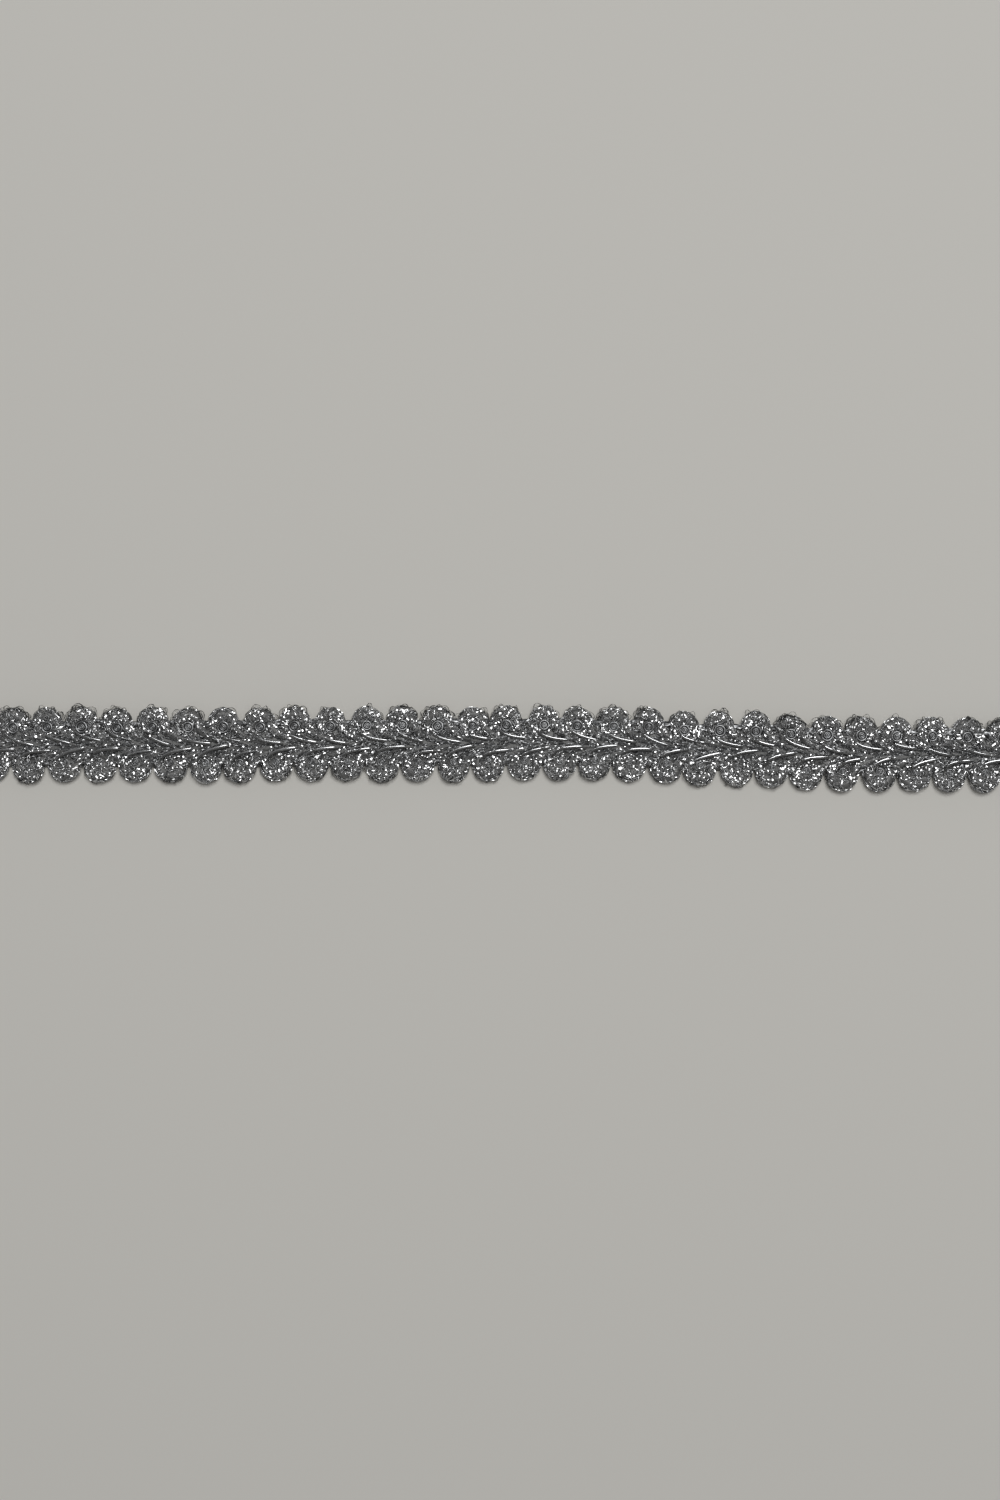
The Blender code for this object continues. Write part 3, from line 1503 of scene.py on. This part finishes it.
@dataclass
class CutEnds(Strands):
    """The ends of the core yarns, which stand out a little where the band is cut."""

    cords: Cords
    ground: Ground
    name: str = "cut_yarn_ends"
    seed: int = 101
    outline: Outline = WIRE_OUTLINE
    gloss: Gloss = Gloss.SMOOTH
    spacing: float = 0.34 * MM
    radius: Span = mm(0.13, 0.19)
    back: float = 0.6 * MM
    proud: Span = mm(-0.05, 0.3)
    splay: float = 0.1 * MM
    least_height: float = 0.22 * MM
    rows: int = 8
    tip_share: float = 0.7

    def discs(self, end: float) -> list[Section]:
        """Where the cords cross one cut.

        Args:
            end: The cut's place along the band.

        Returns:
            The cords' sections there.
        """
        crossed = []
        for route in self.cords.every_route:
            for here, after in zip(route.sections, route.sections[1:]):
                if (here.middle.x - end) * (after.middle.x - end) <= 0:
                    crossed.append(here)
        return crossed

    def in_cord(self, y: float, z: float, discs: list[Section]) -> bool:
        """Whether a point of the cut lies in one of the cords.

        Args:
            y: The point's place across the band.
            z: Its height.
            discs: The cords' sections at the cut.

        Returns:
            Whether there is a cord.
        """
        inset = self.spacing / 3
        for disc in discs:
            aside, above = y - disc.middle.y, (z - disc.middle.z) / CORD_FLATNESS
            if math.hypot(aside, above) < disc.radius - inset:
                return True
        return False

    def lay(self, outwards: int, y: float, z: float) -> None:
        """Lay one yarn's end.

        Args:
            outwards: The sign of the direction out of the cut.
            y: The yarn's place across the band.
            z: Its height.
        """
        end = outwards * self.cords.band.length / 2
        tip = end + outwards * self.pick(self.proud)
        root = Vector((end - outwards * self.back, y, z))
        splay = Vector((0, self.draw.gauss(0, self.splay), self.draw.gauss(0, self.splay)))
        point = Vector((tip, y, z)) + splay
        point.z = max(point.z, self.least_height)
        size = self.pick(self.radius)
        self.add([root, (root + point) / 2, point], [size, size, self.tip_share * size])

    def lay_all(self) -> None:
        """Lay the yarn ends of both cuts, in staggered columns."""
        band = self.cords.band
        for outwards in (-1, 1):
            end = outwards * band.length / 2
            discs = self.discs(end)
            columns = int(band.width / self.spacing) + 1
            for column in range(columns):
                y = (column - columns / 2) * self.spacing + band.sideways(end) - band.middle_y
                for row in range(self.rows):
                    z = self.least_height + (row + column % 2 / 2) * self.spacing
                    if self.in_cord(y, z, discs) or self.ground.in_web(end, y, z):
                        self.lay(outwards, y, z)


@dataclass
class StrayLoops(Strands):
    """The loose loops that stand out from the scallops' rims, on some scallops more than others."""

    cords: Cords
    name: str = "stray_loops"
    seed: int = 33
    counts: dict[Side, tuple[int, int]] = by_side((4, 24), (0, 14))
    most_stand: dict[Side, float] = by_side(*mm(0.85, 0.5))
    least_stand: float = 0.12 * MM
    span: Span = mm(0.4, 1.2)
    place: Span = (0.1, 0.42)
    turn: Span = (1.0, 1.85)
    uneven_roll: float = 0.4
    width: float = 0.23 * MM
    points: int = 7

    def lay(self, route: Route, side: Side) -> None:
        """Lay one loop that leaves the rim and comes back.

        Args:
            route: The cord it belongs to.
            side: The cord's edge of the band.
        """
        start = self.pick(self.place) * route.length
        span = self.pick(self.span)
        stand = self.draw.uniform(self.least_stand, self.most_stand[side])
        turn = -side.value * self.pick(self.turn)
        points, facings = [], []
        for share in shares(self.points):
            section = route.at(start + span * share)
            points.append(section.surface(turn, stand * math.sin(math.pi * share)))
            facings.append(section.outward(turn))
        if self.cords.band.holds(*points):
            rolls = [self.draw.gauss(0, self.uneven_roll) for _ in points]
            self.add(points, [self.width] * self.points, facings, rolls)

    def lay_all(self) -> None:
        """Lay the loops, more on some cords than on others."""
        for side in Side:
            for route in self.cords.routes[side]:
                for _ in range(self.draw.randint(*self.counts[side])):
                    self.lay(route, side)


@dataclass
class Studio:
    """The camera above the braid, the pale sheet under it and the soft light.

    `lamp_bearing` is measured from +Y towards +X, and `lamp_elevation` from the sheet up.
    """

    band: Band
    photo_width: float = 163 * MM
    photo_middle: Span = mm(-1.2, -0.81)
    lens: float = 50.0
    long_sensor: float = 36.0
    short_sensor: float = 24.0
    nearest_seen: float = 10 * MM
    floor_size: float = 4.0
    horizon: tuple[float, ...] = (0.62, 0.61, 0.595, 1)
    overhead: tuple[float, ...] = (0.165, 0.165, 0.165, 1)
    overhead_from: float = 0.45
    lamp_bearing: float = math.radians(22)
    lamp_elevation: float = math.radians(69)
    lamp_distance: float = 1.2
    lamp_size: float = 0.65
    lamp_watts: float = 7.2

    def camera(self) -> None:
        """Look straight down, with the photograph's stretch of braid across the frame."""
        data = bpy.data.cameras.new("camera")
        data.lens = self.lens
        data.sensor_width = self.long_sensor
        data.clip_start = self.nearest_seen
        above = self.photo_width * self.lens / self.short_sensor
        eye = bpy.data.objects.new("camera", data)
        along, across = self.photo_middle
        eye.location = (along, across - self.band.middle_y, above)
        bpy.context.scene.collection.objects.link(eye)
        bpy.context.scene.camera = eye

    def floor(self) -> None:
        """Lay the pale sheet."""
        maker = bmesh.new()
        bmesh.ops.create_grid(maker, x_segments=1, y_segments=1, size=self.floor_size / 2)
        sheet = mesh_object("pale_sheet", maker)
        sheet.data.materials.append(PaleSheet().material())
        bpy.context.scene.collection.objects.link(sheet)

    def lamp(self) -> None:
        """Hang the one round soft light, which faces the braid."""
        data = bpy.data.lights.new("softbox", "AREA")
        data.shape = "DISK"
        data.size = self.lamp_size
        data.energy = self.lamp_watts
        turn, rise = self.lamp_bearing, self.lamp_elevation
        towards = Vector(
            (math.sin(turn) * math.cos(rise), math.cos(turn) * math.cos(rise), math.sin(rise))
        )
        hung = bpy.data.objects.new("softbox", data)
        hung.location = towards * self.lamp_distance
        hung.rotation_mode = "QUATERNION"
        hung.rotation_quaternion = towards.to_track_quat("Z", "Y")
        bpy.context.scene.collection.objects.link(hung)

    def world(self) -> None:
        """Light the room: dim overhead and paler towards the horizon."""
        world = bpy.data.worlds.new("studio")
        world.use_nodes = True
        tree = world.node_tree
        direction = add_node(tree, "ShaderNodeTexCoord").outputs["Generated"]
        height = add_node(tree, "ShaderNodeSeparateXYZ", links={0: direction}).outputs["Z"]
        ramp = add_node(tree, "ShaderNodeValToRGB", links={"Fac": height})
        low, high = ramp.color_ramp.elements
        low.position, low.color = 0.0, self.horizon
        high.position, high.color = self.overhead_from, self.overhead
        background = tree.nodes["Background"]
        tree.links.new(ramp.outputs["Color"], background.inputs["Color"])
        bpy.context.scene.world = world

    def build(self) -> None:
        """Set the studio up."""
        self.camera()
        self.floor()
        self.world()
        self.lamp()
        bpy.context.scene.view_settings.view_transform = "Standard"
        log.info("studio: one softbox, a pale sheet and a camera straight above")


def main() -> None:
    """Build the braid and its studio."""
    logging.basicConfig(level=logging.INFO, format="%(message)s")
    band = Band()
    Studio(band).build()
    film = MetallisedFilm().material()
    fine_film = TwistedFilm().material()
    yarn = WoundYarn().material()
    # Dull dark grey: painted shade on the stray loops, painted shadow on the strands beside the
    # filaments
    loose = PaintedShadeFibre().material()
    filament = SmoothFilament().material()

    ground = Ground(band)
    cords = Cords(band)
    web = ground.build(yarn)
    pieces = [cords.build(yarn)]
    for side in Side:
        edge, sign = side.name.lower(), side.value
        lobes = Film(cords, f"{edge}_scallop_film", side, LOBE_WRAPS, seed=40 + sign)
        tails = Film(cords, f"{edge}_plait_film", side, TAIL_WRAPS, seed=50 + sign)
        rims = Film(cords, f"{edge}_rim_film", side, RIM_WRAPS, seed=110 + sign, step=RIM_STEP)
        flashes = Flashes(cords, f"{edge}_film_flashes", side, TURNS[side], seed=60 + sign)
        pieces += [lobes.build(film), tails.build(fine_film)]
        pieces += [rims.build(film), flashes.build(film)]
    filaments = Filaments(band)
    pieces.append(filaments.build(filament))
    # Dark strands beside the filaments: painted shadow
    pieces.append(PaintedShadowStrands(filaments).build(loose))
    pieces.append(Eyes(band).build(fine_film))
    pieces.append(ShortFilm(band, "eye_film", EYE_PATCHES, seed=71).build(film))
    pieces.append(ShortFilm(band, "leaf_film", LEAF_PATCHES, seed=73).build(fine_film))
    pieces.append(EyeArcs(band).build(film))
    pieces.append(Bridges(band).build(fine_film))
    pieces.append(CutEnds(cords, ground).build(yarn))
    # The loops' dark is painted shade, where they stand edge-on and in shadow
    pieces.append(StrayLoops(cords).build(loose))
    band.length
    total = sum(triangles(piece) for piece in (web, *pieces))
    log.info("%d pieces, %d triangles", len(pieces) + 1, total)


if __name__ == "__main__":
    main()
